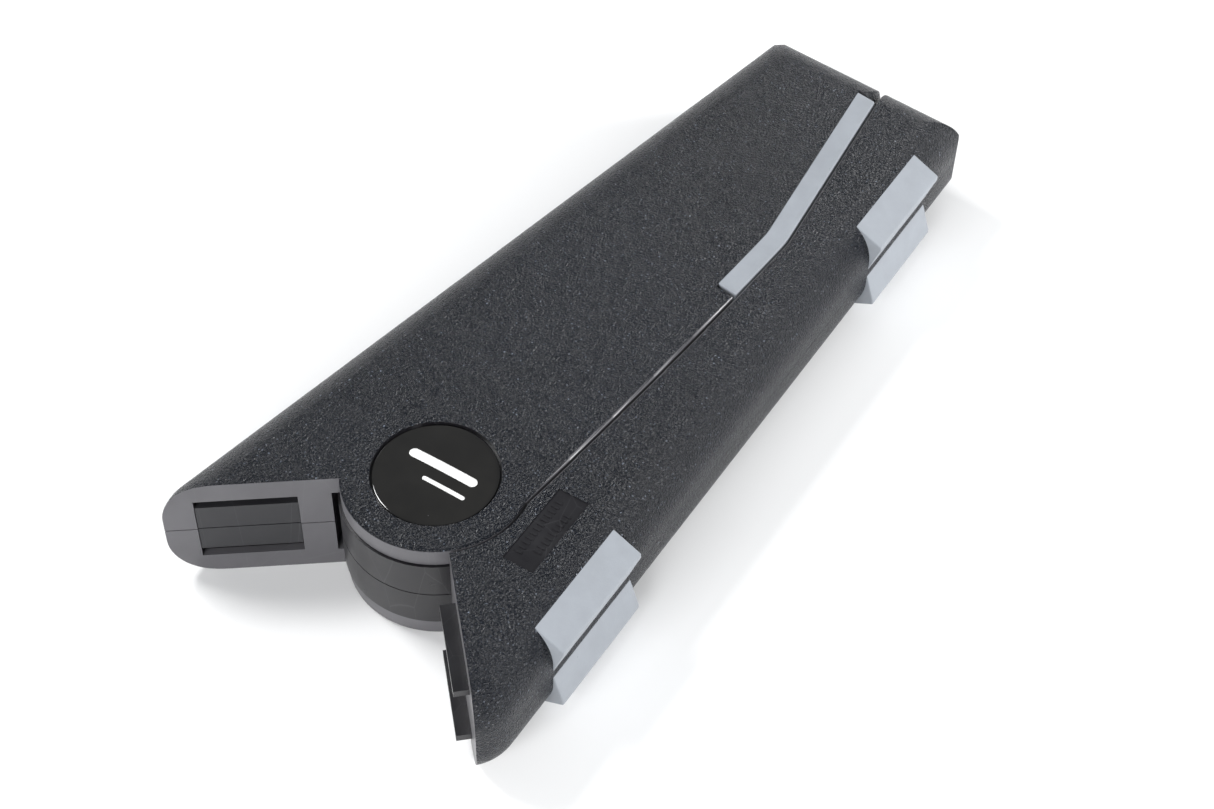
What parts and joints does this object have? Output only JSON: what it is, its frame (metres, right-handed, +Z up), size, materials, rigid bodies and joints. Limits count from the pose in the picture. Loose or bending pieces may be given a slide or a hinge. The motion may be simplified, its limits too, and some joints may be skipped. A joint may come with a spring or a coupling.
{
  "type": "folding instrument stand",
  "caption": "Folding A-frame floor stand for a guitar or similar instrument, folded flat: mirrored frames, each an upright and a swing-out base arm on a hub.",
  "frame": {"origin": "on the hub pivot axis, in the plane of the underside that the folded stand lies on", "axes": "+Y from the hub to the hinged far end, +X from the upright arm to the base arm, +Z up through the folded thickness"},
  "size_m": [0.1355, 0.3072, 0.043],
  "materials": {
    "abs_black": "fine leather-grain moulded ABS, charcoal black",
    "abs_smooth": "smooth satin charcoal plastic",
    "rubber_grey": "matt light grey rubber",
    "badge_black": "glossy black domed badge",
    "steel_zinc": "zinc-plated steel",
    "spring_steel": "dark spring steel",
    "acetal": "natural acetal"
  },
  "bodies": {
    "upright_lower": {"upright_shell_lower": "abs_black", "upright_cover_lower": "abs_smooth", "upright_cover_screws_lower": "steel_zinc", "lean_strip_lower": "rubber_grey", "hub_badge_lower": "badge_black", "pivot_washer_lower": "steel_zinc", "hinge_leaf_lower": "steel_zinc", "hinge_screws_lower": "steel_zinc", "hinge_pin": "steel_zinc"},
    "upright_upper": {"upright_shell_upper": "abs_black", "upright_cover_upper": "abs_smooth", "upright_cover_screws_upper": "steel_zinc", "lean_strip_upper": "rubber_grey", "hub_badge_upper": "badge_black", "pivot_washer_upper": "steel_zinc", "hinge_leaf_upper": "steel_zinc", "hinge_screws_upper": "steel_zinc"},
    "base_lower": {"base_shell_lower": "abs_black", "base_cover_lower": "abs_smooth", "base_cover_screws_lower": "steel_zinc", "base_rest_pad_lower": "rubber_grey", "front_foot_lower": "rubber_grey", "rear_foot_lower": "rubber_grey", "pivot_bolt_lower": "steel_zinc", "pivot_nut_lower": "steel_zinc", "pivot_disc_spring_lower": "spring_steel", "pivot_glide_washer_lower": "acetal"},
    "base_upper": {"base_shell_upper": "abs_black", "base_cover_upper": "abs_smooth", "base_cover_screws_upper": "steel_zinc", "base_rest_pad_upper": "rubber_grey", "front_foot_upper": "rubber_grey", "rear_foot_upper": "rubber_grey", "pivot_bolt_upper": "steel_zinc", "pivot_nut_upper": "steel_zinc", "pivot_disc_spring_upper": "spring_steel", "pivot_glide_washer_upper": "acetal"}
  },
  "joints": [
    {"name": "frame_hinge", "type": "hinge", "parent": "upright_lower", "child": "upright_upper", "pos_m": [0.00575, 0.23971, 0.0215], "axis": [-0.9966, 0.0819, 0], "range_deg": [0, 37]},
    {"name": "base_upper_pivot", "type": "hinge", "parent": "upright_upper", "child": "base_upper", "pos_m": [0, 0, 0.0287], "axis": [0, 0, -1], "range_deg": [0, 95]},
    {"name": "base_lower_pivot", "type": "hinge", "parent": "upright_lower", "child": "base_lower", "pos_m": [0, 0, 0.0143], "axis": [0, 0, -1], "range_deg": [0, 95]}
  ]
}
